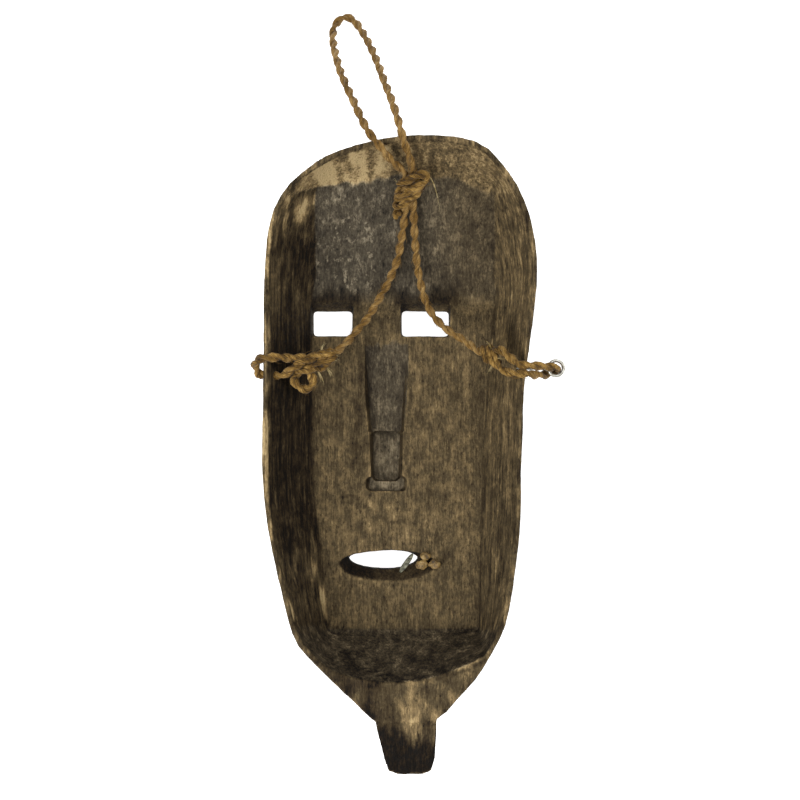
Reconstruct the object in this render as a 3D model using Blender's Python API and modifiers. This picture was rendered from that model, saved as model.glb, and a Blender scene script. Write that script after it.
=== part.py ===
"""Carved wooden folk art mask, lying face down, with its fibre hanging cord.

Metres, +Z up. The open back looks up and the forehead points along +Y. The
origin is under the middle of the mask and its screw eye, on the surface that
the brow and the nose rest on.
"""

import math

import bmesh
import bpy
from mathutils import Vector

MM = 0.001

# Mask block
MASK_LENGTH = 366.0        # rim, from the top of the head to the chin
MASK_WIDTH = 172.2         # rim, across the cheeks
RIM_HEIGHT = 80.0          # plane of the rim above the surface it rests on
RIM_WIDTH = 2.4            # flat top of the rim at the sides
CHIN_SOLID = 23.0          # solid wood between the hollow and the chin's edge
CHIN_ARCH = 15.0           # how much further up that line is at its ends
CHIN_HALF = 55.0           # half the length of that line
FRONT_HEIGHT = 23.0        # cheeks above the surface
PLATE = 9.0                # wood between cheek and hollow
BROW_STEP = 3.0            # forehead floor above the cheek floor, at the brow
BROW_RAMP = 15.6           # length of the ramp up to it
FOREHEAD_RISE = 24.0       # how much the forehead floor climbs to the top wall
BROW_LINE = 97.0           # Y of the crease between forehead and eyes
SHELF_LENGTH = 32.0        # how far that step fades up the forehead
SHELF_RISE = 0.8           # how much it still climbs on the way
SHELF_SINK = 3.0           # how deep its far end runs under the forehead floor
SHELF_REACH = 0.6          # share of each wall's run that it reaches under
TOP_WALL_RUN = 26.0        # top wall's foot, this far below the top of the rim
DISH = 1.6                 # how much deeper the middle of the hollow is
WALL_RUN_LEFT = 29.6       # how far each sloping inner wall reaches inwards
WALL_RUN_RIGHT = 22.6
FOOT_OVERRUN = 2.0         # how much nearer the rim that foot is in the middle
FOOT_ARCH = 8.0            # how much lower that line is at its ends
CHIN_WALL_RUN = 51.5       # chin wall's foot, this far above the chin's edge
FOOT_STRAIGHT = -60.0      # below this Y the side walls' feet run to the chin corners
FOOT_CORNERS = (-53.0, 42.0)
CORNER_EASE = 0.05         # how much the corners of the floor are eased
OUTLINE_COUNT = 96

# Outer edge of the rim, (X, Y), clockwise from the top, before it is drawn out to size
RIM_SHAPE = (
    (11, 200), (40, 195.5), (54.5, 183), (66.5, 165), (73, 148), (77.5, 120), (75, 85),
    (69.5, 43), (67.5, -10), (66.5, -48), (59, -100), (47, -128), (33, -147),
    (23, -157), (13, -166), (-24, -166), (-33, -158), (-44, -148), (-59, -133),
    (-74, -116), (-83, -85), (-91, -47), (-94.7, -10), (-94, 60), (-93, 120), (-89, 149),
    (-80.5, 166), (-65, 180), (-48, 189.5), (-22, 197),
)
SHAPE_WIDTH = max(x for x, y in RIM_SHAPE) - min(x for x, y in RIM_SHAPE)
SHAPE_LENGTH = max(y for x, y in RIM_SHAPE) - min(y for x, y in RIM_SHAPE)
RIM_POINTS = tuple((x * MASK_WIDTH / SHAPE_WIDTH, y * MASK_LENGTH / SHAPE_LENGTH)
                   for x, y in RIM_SHAPE)
RIM_TOP = max(y for x, y in RIM_POINTS)
RIM_BOTTOM = min(y for x, y in RIM_POINTS)
CHIN_LINE = RIM_BOTTOM + CHIN_SOLID
TOP_WALL_FOOT = RIM_TOP - TOP_WALL_RUN
FOOT_TOP = TOP_WALL_FOOT + FOOT_OVERRUN
FOOT_BOTTOM = RIM_BOTTOM + CHIN_WALL_RUN

# Outside of the block below the rim: (height, width share, how far its top and its
# chin end stand in from the rim's)
BLOCK_LAYERS = (
    (RIM_HEIGHT, 1.0, 0, -2), (RIM_HEIGHT - 17, 1.0, 1, -2), (FRONT_HEIGHT + 25, 0.975, 9, 1),
    (FRONT_HEIGHT + 14, 0.95, 26, 4), (FRONT_HEIGHT + 6, 0.89, 50, 10),
    (FRONT_HEIGHT + 1.5, 0.80, 72, 20), (FRONT_HEIGHT, 0.70, 88, 30),
)

# Chin tab
TAB_BACK = RIM_HEIGHT - 0.5
TAB_FRONT = 46.0
TAB_LENGTH = 34.0          # beyond the chin
TAB_ROOT = 16.0            # how far it starts inside the block
# Its outline, (X, distance beyond the chin)
TAB_SHAPE = (
    (15, -TAB_ROOT), (14.5, 9), (13.5, TAB_LENGTH - 10), (11, TAB_LENGTH - 2), (6, TAB_LENGTH),
    (-10, TAB_LENGTH), (-15.5, TAB_LENGTH - 2), (-18.5, TAB_LENGTH - 10), (-22.5, 8),
    (-27, -TAB_ROOT),
)
TAB_POINTS = tuple((x, RIM_BOTTOM - beyond) for x, beyond in TAB_SHAPE)
TAB_FRONT_SHARE = 0.86

# Openings through the face plate
EYE_BOTTOM = 75.8
EYE_TOP = 92.2
EYE_CHAMFER = 7.0
EYE_FLARE = 1.5            # how much wider each side is at the back
EYE_FLARE_LOW = 1.0
EYE_CORNER = 2.2           # radius of the openings' corners
LEFT_EYE = (-65.4, -39.9)
RIGHT_EYE = (-7.2, 23.5)
MOUTH_FRONT = (-42.0, 3.2, -76.6, -64.6)     # left, right, bottom, top
MOUTH_BACK = (-49.7, 19.6, -85.6, -64.2)
LID = 6.5                  # frame around each eye on the front
LID_RISE = 3.5
LIP_WIDTH = 9.0
LIP_RISE = 8.0

# Nose
NOSE_X = -17.5
NOSE_RIDGE = ((98, 5), (-28, 11))             # (Y, half width) of the flat ridge
NOSE_FOOT = ((100, 12), (-33, 24))
NOSE_WING = 14.0           # round nostril wings beside the tip
NOSE_WING_OUT = 18.0
GROOVE_TOP = 76.5
GROOVE_STEP = 11.6
GROOVE_BOX_END = -19.0
GROOVE_END = -25.4
GROOVE_HALF_TOP = 17.0
GROOVE_HALF_STEP = 12.2
GROOVE_HALF_BOX = 9.9
GROOVE_HALF_LIP = 13.8
GROOVE_DEPTH_TOP = 0.9
GROOVE_DEPTH_STEP = 11.0
GROOVE_DEPTH_BOX = 15.5
GROOVE_DEPTH_LIP = 7.0

# Brow bar on the front: (height, left, right, bottom Y, top Y)
BROW_LAYERS = (
    (30, -64, 45, 93.5, 120), (14, -64, 45, 94, 117), (4, -61, 42, 95.5, 113),
    (0, -57, 38, 98.5, 109.5),
)

# Cord and its fastenings
GAP = 0.3
CORD = 4.7
TIE_Y = 54.0
TIE_HOLE_Y = 49.5
TIE_HOLE_Z = RIM_HEIGHT - 10.0
TIE_HOLE = CORD + 1.0
EYE_WIRE = 2.2
EYE_RING = 9.4             # across the middle of the ring's wire
EYE_STANDOFF = 19.02         # middle of the ring from the wall
EYE_Z = RIM_HEIGHT - 8.0
EYE_SEAT = 6.0             # length of its shank in the wood
OVERSHOOT = 8.0            # how far a drilled hole's cutter stands clear of the wall
TIE_HOLE_REACH = 24.0      # how far the tie hole's cutter reaches inwards
HINGE_Y = 64.5
HINGE_Z = 67.0


def rim_x_at(y, side):
    """Outer edge of the rim at one height, -1 left or 1 right."""
    outline = smooth_loop(RIM_POINTS, OUTLINE_COUNT)
    best = None
    for a, b in zip(outline, outline[1:] + outline[:1]):
        if (a[1] - y) * (b[1] - y) <= 0 and a[1] != b[1]:
            x = a[0] + (b[0] - a[0]) * (y - a[1]) / (b[1] - a[1])
            if best is None or side * x > side * best:
                best = x
    return best


def catmull(p0, p1, p2, p3, t):
    """A point between p1 and p2 on the smooth curve through all four."""
    return tuple(
        0.5 * (2 * b + (c - a) * t + (2 * a - 5 * b + 4 * c - d) * t * t
               + (3 * b - a - 3 * c + d) * t ** 3)
        for a, b, c, d in zip(p0, p1, p2, p3))


def spread(points, count, closed):
    """Count points at even steps along a polyline."""
    line = [Vector(p) for p in points] + ([Vector(points[0])] if closed else [])
    lengths = [0.0]
    for a, b in zip(line, line[1:]):
        lengths.append(lengths[-1] + (b - a).length)
    parts = count if closed else count - 1
    result = []
    at = 0
    for i in range(count):
        want = lengths[-1] * i / parts
        while at < len(line) - 2 and lengths[at + 1] < want:
            at += 1
        share = (want - lengths[at]) / max(lengths[at + 1] - lengths[at], 1e-9)
        result.append(tuple(line[at].lerp(line[at + 1], min(share, 1.0))))
    return result


def smooth_loop(points, count):
    """A closed smooth curve through the points, at even steps."""
    total = len(points)
    fine = [catmull(points[i - 1], points[i], points[(i + 1) % total],
                    points[(i + 2) % total], step / 12)
            for i in range(total) for step in range(12)]
    return spread(fine, count, True)


def smooth_line(points, count):
    """An open smooth curve through the points, at even steps."""
    ends = [points[0]] + list(points) + [points[-1]]
    fine = [catmull(*ends[i:i + 4], step / 12)
            for i in range(len(points) - 1) for step in range(12)]
    return spread(fine + [points[-1]], count, False)


def floor_height(y):
    """Floor of the hollow: level at the cheeks, climbing over the forehead."""
    cheek = FRONT_HEIGHT + PLATE
    climb = (min(y, TOP_WALL_FOOT) - BROW_LINE) / (TOP_WALL_FOOT - BROW_LINE)
    return cheek + FOREHEAD_RISE * max(climb, 0.0) ** 1.25


def make_material(name, color, roughness, metallic=0.0):
    material = bpy.data.materials.new(name)
    material.use_nodes = True
    shader = material.node_tree.nodes["Principled BSDF"]
    shader.inputs["Base Color"].default_value = (*color, 1.0)
    shader.inputs["Roughness"].default_value = roughness
    shader.inputs["Metallic"].default_value = metallic
    material.diffuse_color = (*color, 1.0)
    return material


def mesh_object(name, bm, collection):
    bmesh.ops.recalc_face_normals(bm, faces=bm.faces)
    mesh = bpy.data.meshes.new(name)
    bm.to_mesh(mesh)
    bm.free()
    obj = bpy.data.objects.new(name, mesh)
    collection.objects.link(obj)
    if collection is cutters:
        obj.hide_render = True
        obj.display_type = "WIRE"
    return obj


def loft(name, loops, collection):
    """A closed solid through loops of equal count, given in millimetres."""
    bm = bmesh.new()
    rings = [[bm.verts.new(Vector(p) * MM) for p in loop] for loop in loops]
    count = len(rings[0])
    for low, high in zip(rings, rings[1:]):
        for i in range(count):
            j = (i + 1) % count
            bm.faces.new((low[i], low[j], high[j], high[i]))
    for ring in (rings[0], rings[-1]):
        middle = bm.verts.new(sum((v.co for v in ring), Vector()) / count)
        for i in range(count):
            bm.faces.new((ring[i], ring[(i + 1) % count], middle))
    return mesh_object(name, bm, collection)


def rounded_box_loop(left, right, bottom, top, z, radius, per_corner=4):
    """A rectangle with round corners at one height."""
    loop = []
    corners = ((right, top, 0), (left, top, 90), (left, bottom, 180), (right, bottom, 270))
    for x, y, start in corners:
        cx = x - radius if x == right else x + radius
        cy = y - radius if y == top else y + radius
        for i in range(per_corner):
            angle = math.radians(start + 90 * i / (per_corner - 1))
            loop.append((cx + radius * math.cos(angle), cy + radius * math.sin(angle), z))
    return loop


def lens_loop(left, right, bottom, top, z, count=40):
    """A pointed oval, fuller above, as the mouth is cut."""
    middle = (left + right) / 2
    level = bottom + 0.58 * (top - bottom)
    loop = []
    for i in range(count):
        angle = 2 * math.pi * (i + 0.5) / count
        reach = math.copysign(abs(math.cos(angle)) ** 0.82, math.cos(angle))
        height = top - level if math.sin(angle) > 0 else level - bottom
        rise = math.copysign(abs(math.sin(angle)) ** 1.15, math.sin(angle))
        loop.append((middle + reach * (right - left) / 2, level + rise * height, z))
    return loop


def taper_loop(ends, z):
    """A long trapezium across NOSE_X with its corners eased."""
    (top, top_half), (bottom, bottom_half) = ends
    ease = 2.0
    loop = []
    for side in (1, -1):
        rows = ((top, top_half - ease), (top - ease, top_half),
                ((top + bottom) / 2, (top_half + bottom_half) / 2),
                (bottom + ease, bottom_half), (bottom, bottom_half - ease))
        for y, half in rows[::side]:
            loop.append((NOSE_X + side * half, y, z))
    return loop


def boolean(target, tool, operation):
    modifier = target.modifiers.new(tool.name, "BOOLEAN")
    modifier.operation = operation
    modifier.object = tool
    modifier.solver = "EXACT"


def block_loop(height, share, top_inset, chin_inset):
    """One level of the block: the rim's outline, narrowed and shortened."""
    top, bottom = RIM_TOP - top_inset, RIM_BOTTOM + chin_inset
    outline = smooth_loop(RIM_POINTS, OUTLINE_COUNT)
    high = max(p[1] for p in outline)
    low = min(p[1] for p in outline)
    middle = (max(p[0] for p in outline) + min(p[0] for p in outline)) / 2
    return [(middle + (x - middle) * share, bottom + (y - low) * (top - bottom) / (high - low),
             height) for x, y in outline]


def foot_x(y, side):
    """Foot of a side wall: a set run from the rim, then on to the chin corner."""
    run = WALL_RUN_LEFT if side < 0 else WALL_RUN_RIGHT
    x = rim_x_at(min(max(y, FOOT_STRAIGHT), BROW_LINE), side) - side * (RIM_WIDTH + run)
    share = min(max((FOOT_STRAIGHT - y) / (FOOT_STRAIGHT - FOOT_BOTTOM), 0.0), 1.0)
    return x + (FOOT_CORNERS[(side + 1) // 2] - x) * share


def foot_point(x, y):
    """Where the wall under a rim point meets the floor."""
    middle = (foot_x(BROW_LINE, -1) + foot_x(BROW_LINE, 1)) / 2
    half = foot_x(BROW_LINE, 1) - middle
    top = FOOT_TOP - FOOT_ARCH * min(abs(x - middle) / half, 1.0) ** 2
    foot_y = min(max(y, FOOT_BOTTOM), top)
    foot = min(max(x, foot_x(foot_y, -1)), foot_x(foot_y, 1))
    return foot + (x - foot) * CORNER_EASE, foot_y + (y - foot_y) * CORNER_EASE


def hollow_loops():
    """Loops of the hollow, from above the rim down its walls to the floor."""
    outline = smooth_loop(RIM_POINTS, OUTLINE_COUNT)
    middle = (rim_x_at(0, -1) + rim_x_at(0, 1)) / 2
    rim = []
    for i, (x, y) in enumerate(outline):
        before, after = outline[i - 1], outline[(i + 1) % len(outline)]
        along = Vector((after[0] - before[0], after[1] - before[1])).normalized()
        inward = Vector((along.y, -along.x))
        x_in, y_in = x + inward.x * RIM_WIDTH, y + inward.y * RIM_WIDTH
        chin = CHIN_LINE + CHIN_ARCH * ((x_in - middle) / CHIN_HALF) ** 2
        rim.append((x_in, max(y_in, chin) if y < 0 else y_in))
    feet = [foot_point(x, y) for x, y in rim]
    loops = [[(x, y, RIM_HEIGHT + 10) for x, y in rim],
             [(x, y, RIM_HEIGHT + 0.6) for x, y in rim]]
    for reach, drop in ((0.3, 0.34), (0.6, 0.66), (0.9, 0.945), (1.0, 0.993)):
        loop = []
        for (x, y), (fx, fy) in zip(rim, feet):
            px, py = x + (fx - x) * reach, y + (fy - y) * reach
            loop.append((px, py, RIM_HEIGHT + (floor_height(py) - RIM_HEIGHT) * drop))
        loops.append(loop)
    edge = loops[-1]
    middle_x = sum(p[0] for p in edge) / len(edge)
    middle_y = BROW_LINE / 2
    for share in (0.94, 0.82, 0.68, 0.54, 0.38, 0.22, 0.04):
        inner = [(middle_x + (x - middle_x) * share, middle_y + (y - middle_y) * share)
                 for x, y, z in edge]
        loops.append([(x, y, floor_height(y) - DISH * (1 - share)) for x, y in inner])
    return loops


def brow_shelf_loops():
    """A low step across the foot of the forehead, fading into its slope."""
    left = rim_x_at(BROW_LINE, -1) + SHELF_REACH * WALL_RUN_LEFT
    right = rim_x_at(BROW_LINE, 1) - SHELF_REACH * WALL_RUN_RIGHT
    deep = FRONT_HEIGHT + PLATE / 2
    crest = FRONT_HEIGHT + PLATE + BROW_STEP
    far = BROW_LINE + SHELF_LENGTH
    start = BROW_LINE - BROW_RAMP
    profile = ((start, deep), (start, crest - BROW_STEP - 2 * DISH), (BROW_LINE, crest),
               (BROW_LINE + 0.4 * SHELF_LENGTH, crest + SHELF_RISE),
               (far, floor_height(far) - SHELF_SINK), (far, deep))
    return [[(x, y, z) for y, z in profile] for x in (left, right)]


def build_mask_body():
    body = loft("mask_body", [block_loop(*layer) for layer in BLOCK_LAYERS], parts)
    tab_loops = []
    for height, share in ((TAB_BACK, 1.0), ((TAB_BACK + TAB_FRONT) / 2, 0.97),
                          (TAB_FRONT, TAB_FRONT_SHARE)):
        middle = (TAB_POINTS[0][0] + TAB_POINTS[-1][0]) / 2
        tab_loops.append([(middle + (x - middle) * share, y, height) for x, y in TAB_POINTS])
    boolean(body, loft("tab", tab_loops, cutters), "UNION")
    brow = [rounded_box_loop(left, right, low, high, z, 4)
            for z, left, right, low, high in BROW_LAYERS]
    boolean(body, loft("brow_bar", brow, cutters), "UNION")
    nose = []
    for z, share in ((FRONT_HEIGHT + 4, 1.0), (12, 0.72), (3, 0.18), (0, 0.0)):
        ends = [(r[0] + (f[0] - r[0]) * share, r[1] + (f[1] - r[1]) * share)
                for r, f in zip(NOSE_RIDGE, NOSE_FOOT)]
        nose.append(taper_loop(ends, z))
    boolean(body, loft("nose", nose, cutters), "UNION")
    left, right, low, high = MOUTH_FRONT
    lips = [lens_loop(left - LIP_WIDTH * s, right + LIP_WIDTH * s, low - LIP_WIDTH * s,
                      high + LIP_WIDTH * s, z)
            for z, s in ((FRONT_HEIGHT + 3, 1.1), (FRONT_HEIGHT - 0.5 * LIP_RISE, 0.95),
                         (FRONT_HEIGHT - LIP_RISE, 0.45))]
    boolean(body, loft("lips", lips, cutters), "UNION")
    shape_face(body)
    boolean(body, loft("hollow", hollow_loops(), cutters), "DIFFERENCE")
    boolean(body, loft("brow_shelf", brow_shelf_loops(), cutters), "UNION")
    cut_eyes(body)
    mouth = [lens_loop(*MOUTH_FRONT, -5), lens_loop(*MOUTH_FRONT, FRONT_HEIGHT + 1.3),
             lens_loop(*MOUTH_BACK, FRONT_HEIGHT + PLATE + 1)]
    boolean(body, loft("mouth", mouth, cutters), "DIFFERENCE")
    cut_nose_groove(body)
    cut_fastenings(body)
    return body


def shape_face(body):
    """Eyelids and nose wings on the front, plain and calm."""
    for name, (left, right) in (("left_lid", LEFT_EYE), ("right_lid", RIGHT_EYE)):
        lids = [rounded_box_loop(left - LID * s, right + LID * s, EYE_BOTTOM - LID * s,
                                 EYE_TOP + LID * s, z, 4 * s)
                for z, s in ((FRONT_HEIGHT + 4, 1.0), (FRONT_HEIGHT - LID_RISE + 1, 0.9),
                             (FRONT_HEIGHT - LID_RISE, 0.55))]
        boolean(body, loft(name, lids, cutters), "UNION")
    for name, side in (("left_wing", -1), ("right_wing", 1)):
        centre = (NOSE_X + side * NOSE_WING_OUT, NOSE_FOOT[1][0] + NOSE_WING / 2, NOSE_WING)
        wing = pebble(name, centre, (NOSE_WING, 1.3 * NOSE_WING, 1.5 * NOSE_WING), 0.0, cutters)
        boolean(body, wing, "UNION")


def cut_eyes(body):
    floor = FRONT_HEIGHT + PLATE
    for name, (left, right) in (("left_eye", LEFT_EYE), ("right_eye", RIGHT_EYE)):
        loops = [rounded_box_loop(left, right, EYE_BOTTOM, EYE_TOP, -5, EYE_CORNER),
                 rounded_box_loop(left, right, EYE_BOTTOM, EYE_TOP, floor - 6, EYE_CORNER),
                 rounded_box_loop(left - EYE_FLARE, right + EYE_FLARE, EYE_BOTTOM - EYE_FLARE_LOW,
                                  EYE_TOP + EYE_CHAMFER, floor + BROW_STEP + 2, EYE_CORNER)]
        boolean(body, loft(name, loops, cutters), "DIFFERENCE")


def groove_part(name, top, bottom, half_top, half_bottom, depth_top, depth_bottom):
    """A trough whose floor is narrower than its mouth and may slope."""
    floor = FRONT_HEIGHT + PLATE
    loops = []
    for share, narrow in ((-0.4, 1.06), (0.0, 1.0), (1.0, 0.8)):
        ring = taper_loop(((top, half_top * narrow), (bottom, half_bottom * narrow)), 0)
        slope = [(x, y, floor - share * (depth_bottom + (depth_top - depth_bottom)
                                         * (y - bottom) / (top - bottom))) for x, y, z in ring]
        loops.append(slope)
    return loft(name, loops, cutters)


def cut_nose_groove(body):
    upper = groove_part("groove_upper", GROOVE_TOP, GROOVE_STEP, GROOVE_HALF_TOP,
                        GROOVE_HALF_STEP, GROOVE_DEPTH_TOP, GROOVE_DEPTH_STEP)
    box = groove_part("groove_box", GROOVE_STEP + 2, GROOVE_BOX_END, GROOVE_HALF_BOX + 1.5,
                      GROOVE_HALF_BOX, GROOVE_DEPTH_BOX, GROOVE_DEPTH_BOX)
    lip = groove_part("groove_lip", GROOVE_BOX_END + 3, GROOVE_END, GROOVE_HALF_LIP,
                      GROOVE_HALF_LIP, GROOVE_DEPTH_LIP, GROOVE_DEPTH_LIP)
    for tool in (upper, box, lip):
        boolean(body, tool, "DIFFERENCE")


def rod(name, start, end, radius, collection, sides=16):
    """A cylinder between two points, in millimetres."""
    a, b = Vector(start) * MM, Vector(end) * MM
    bpy.ops.mesh.primitive_cylinder_add(vertices=sides, radius=radius * MM,
                                        depth=(b - a).length, location=(a + b) / 2)
    obj = bpy.context.object
    obj.rotation_euler = (b - a).to_track_quat("Z", "Y").to_euler()
    return claim(obj, name, collection)


def claim(obj, name, collection):
    """Name a new primitive and move it to its collection."""
    obj.name = name
    obj.data.name = name
    for home in list(obj.users_collection):
        home.objects.unlink(obj)
    collection.objects.link(obj)
    if collection is cutters:
        obj.hide_render = True
        obj.display_type = "WIRE"
    return obj


def cut_fastenings(body):
    edge = rim_x_at(TIE_HOLE_Y, -1)
    boolean(body, rod("tie_hole", (edge - OVERSHOOT, TIE_HOLE_Y, TIE_HOLE_Z),
                      (edge + TIE_HOLE_REACH, TIE_HOLE_Y, TIE_HOLE_Z), TIE_HOLE / 2, cutters),
            "DIFFERENCE")
    wall = rim_x_at(TIE_Y, 1)
    boolean(body, rod("pilot_hole", (wall - EYE_SEAT - GAP, TIE_Y, EYE_Z),
                      (wall + OVERSHOOT, TIE_Y, EYE_Z), EYE_WIRE / 2 + GAP, cutters),
            "DIFFERENCE")


def build_screw_eye():
    wall = rim_x_at(TIE_Y, 1)
    ring_x = wall + EYE_STANDOFF
    bpy.ops.mesh.primitive_torus_add(major_segments=32, minor_segments=12,
                                     major_radius=EYE_RING / 2 * MM, minor_radius=EYE_WIRE / 2 * MM,
                                     location=(ring_x * MM, TIE_Y * MM, EYE_Z * MM))
    ring = claim(bpy.context.object, "screw_eye", parts)
    shank = rod("screw_shank", (wall - EYE_SEAT, TIE_Y, EYE_Z),
                (ring_x - EYE_RING / 2, TIE_Y, EYE_Z), EYE_WIRE / 2, cutters)
    boolean(ring, shank, "UNION")
    return ring


def pebble(name, centre, size, lean, collection):
    """A rounded lump: a coarse cage with Subdivision Surface."""
    bm = bmesh.new()
    bmesh.ops.create_cube(bm, size=1.0)
    for vert in bm.verts:
        vert.co.x += 0.12 * vert.co.z
        vert.co.y *= 1.0 + 0.2 * vert.co.x
    for vert in bm.verts:
        x, y, z = vert.co
        turned = (x * size[0] * math.cos(lean) - y * size[1] * math.sin(lean),
                  x * size[0] * math.sin(lean) + y * size[1] * math.cos(lean), z * size[2])
        vert.co = (Vector(turned) * 1.25 + Vector(centre)) * MM
    obj = mesh_object(name, bm, collection)
    smooth = obj.modifiers.new("round", "SUBSURF")
    smooth.levels = 2
    smooth.render_levels = 2
    return obj


def cord_tube(name, points, count):
    """A plain tube along a smooth curve through the route's points."""
    curve = bpy.data.curves.new(name, "CURVE")
    curve.dimensions = "3D"
    curve.bevel_depth = CORD / 2 * MM
    curve.bevel_resolution = 3
    curve.use_fill_caps = True
    line = smooth_line(points, count)
    spline = curve.splines.new("POLY")
    spline.points.add(count - 1)
    for point, place in zip(spline.points, line):
        point.co = (*(Vector(place) * MM), 1.0)
    obj = bpy.data.objects.new(name, curve)
    parts.objects.link(obj)
    return obj


# Routes of the cord in millimetres, from the left tie to the right one
LEFT_LEG = (
    (-52.2, 64.5, 67), (-48.2, 64.9, 66.6), (-43.5, 69.3, 62), (-37, 77, 56), (-29, 87, 50),
    (-22, 99, 45.5), (-16, 110, 44), (-10, 125, 46.5), (-7.5, 138, 49.5), (-6, 149, 53.5),
    (-5.3, 157, 58.1),
)
HANGER_LOOP = (
    (-5.2, 176.3, 68), (-14, 184, 77), (-21, 192, 83.4), (-28, 201, 84.6), (-33, 211, 80.5),
    (-38, 223, 71), (-43, 235, 60), (-47.5, 248, 46), (-50.5, 260, 32), (-52.5, 271, 19),
    (-52.5, 280, 9), (-49.5, 287, 4), (-45, 289.5, 2.8), (-40, 288, 3.2), (-35.5, 282, 8),
    (-30.5, 272, 19), (-26, 261, 32), (-22, 249, 45), (-18, 236, 59), (-14, 224, 71),
    (-10.5, 212, 80.5), (-8, 202, 84.6), (-5, 192, 83.4), (-2, 184, 77), (-0.4, 176.4, 68.4),
)
RIGHT_LEG = (
    (-0.2, 157, 58.1), (0.5, 147, 53), (1, 138, 49.5), (2, 126, 46.5), (4, 113, 44),
    (8, 98, 44), (14, 87, 48), (22, 79, 53), (31, 73, 59), (36.8, 68.3, 63.6),
    (41, 64.9, 66.6), (44.9, 64.5, 67),
)
LEFT_TIE_LOOP = (
    (-75.2, 59.4, 73), (-80.5, 60.2, 79.4), (-87, 60.5, 83.2), (-94.5, 60, 83.2),
    (-98.6, 58, 79.5), (-99.2, 54, 74), (-97.3, 50.6, 70.4), (-92, 49.5, 70),
    (-85.5, 49.5, 70), (-81, 50, 70),
)
LEFT_TIE_TAIL = (
    (-75.4, 50.3, 64.8), (-77.6, 46.6, 65.2), (-75, 41.4, 64.6), (-69.6, 39.6, 62.4),
    (-65.6, 43.4, 60.6), (-66.6, 48.6, 60.4),
)
RIGHT_TIE_LOOP = (
    (57.7, 58.7, 78.3), (61.5, 57.2, 82.2), (66.5, 56, 83.6), (74, 55.4, 82.6), (81, 55, 79.4),
    (86, 54.6, 77.4), (90, 54.2, 74), (89.8, 53, 68.5), (86, 51, 66.5), (81.5, 49.6, 69.5),
    (77, 49.6, 76), (72.5, 50, 82.4), (66.5, 50.6, 83.6), (61, 51.6, 81.6), (57.5, 52.8, 78.6),
)


def build_cord():
    tubes = {
        "left_leg": (LEFT_LEG, 16), "right_leg": (RIGHT_LEG, 16), "hanger_loop": (HANGER_LOOP, 24),
        "left_tie_loop": (LEFT_TIE_LOOP, 12), "left_tie_tail": (LEFT_TIE_TAIL, 8),
        "right_tie_loop": (RIGHT_TIE_LOOP, 12),
    }
    return [cord_tube(name, route, count) for name, (route, count) in tubes.items()]


def build_knots():
    return [
        pebble("top_knot", (-3, 166.5, 63), (19, 21, 14), 0.15, parts),
        pebble("left_tie_knot", (-66.5, 58.5, 67.5), (28, 13, 12), 0.22, parts),
        pebble("right_tie_knot", (53.5, 59.5, 70), (15.5, 17, 13), 0.0, parts),
    ]


def build_mouth_pieces():
    floor = FRONT_HEIGHT + PLATE
    lumps = [
        pebble("resin_lump_upper", (7.8, -67.6, floor + 2.3), (7.4, 4.6, 4.6), 0.2, parts),
        pebble("resin_lump_lower", (5.8, -73.4, floor + 0.2), (7.8, 6.6, 6.2), -0.1, parts),
        pebble("resin_lump_right", (14.2, -72.8, floor + 2.2), (8.2, 5.4, 5.0), -0.25, parts),
    ]
    strip = pebble("mouth_splinter", (-4.4, -72.6, floor - 3.1), (13.0, 3.6, 1.6), 0.68, parts)
    return lumps + [strip]


for old in list(bpy.data.objects):
    bpy.data.objects.remove(old, do_unlink=True)
parts = bpy.data.collections.new("folk_mask")
cutters = bpy.data.collections.new("cutters")
bpy.context.scene.collection.children.link(parts)
bpy.context.scene.collection.children.link(cutters)

WOOD = make_material("old_wood", (0.105, 0.082, 0.052), 0.75)
STEEL = make_material("screw_steel", (0.45, 0.44, 0.41), 0.35, 1.0)
RESIN = make_material("dried_resin", (0.52, 0.38, 0.14), 0.45)
BARK = make_material("dry_splinter", (0.20, 0.20, 0.13), 0.8)
FIBRE = make_material("agave_fibre", (0.37, 0.22, 0.08), 0.85)

build_mask_body().data.materials.append(WOOD)
build_screw_eye().data.materials.append(STEEL)
for piece in build_mouth_pieces():
    piece.data.materials.append(BARK if piece.name == "mouth_splinter" else RESIN)

hinge = bpy.data.objects.new("hanger_hinge", None)
hinge.location = (0, HINGE_Y * MM, HINGE_Z * MM)
parts.objects.link(hinge)
bpy.context.view_layer.update()
for piece in build_cord() + build_knots():
    piece.data.materials.append(FIBRE)
    if "tie" not in piece.name:
        piece.parent = hinge
        piece.matrix_parent_inverse = hinge.matrix_world.inverted()
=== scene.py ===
import math
import random
from types import SimpleNamespace

import bpy
import numpy as np
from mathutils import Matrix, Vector, noise


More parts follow.
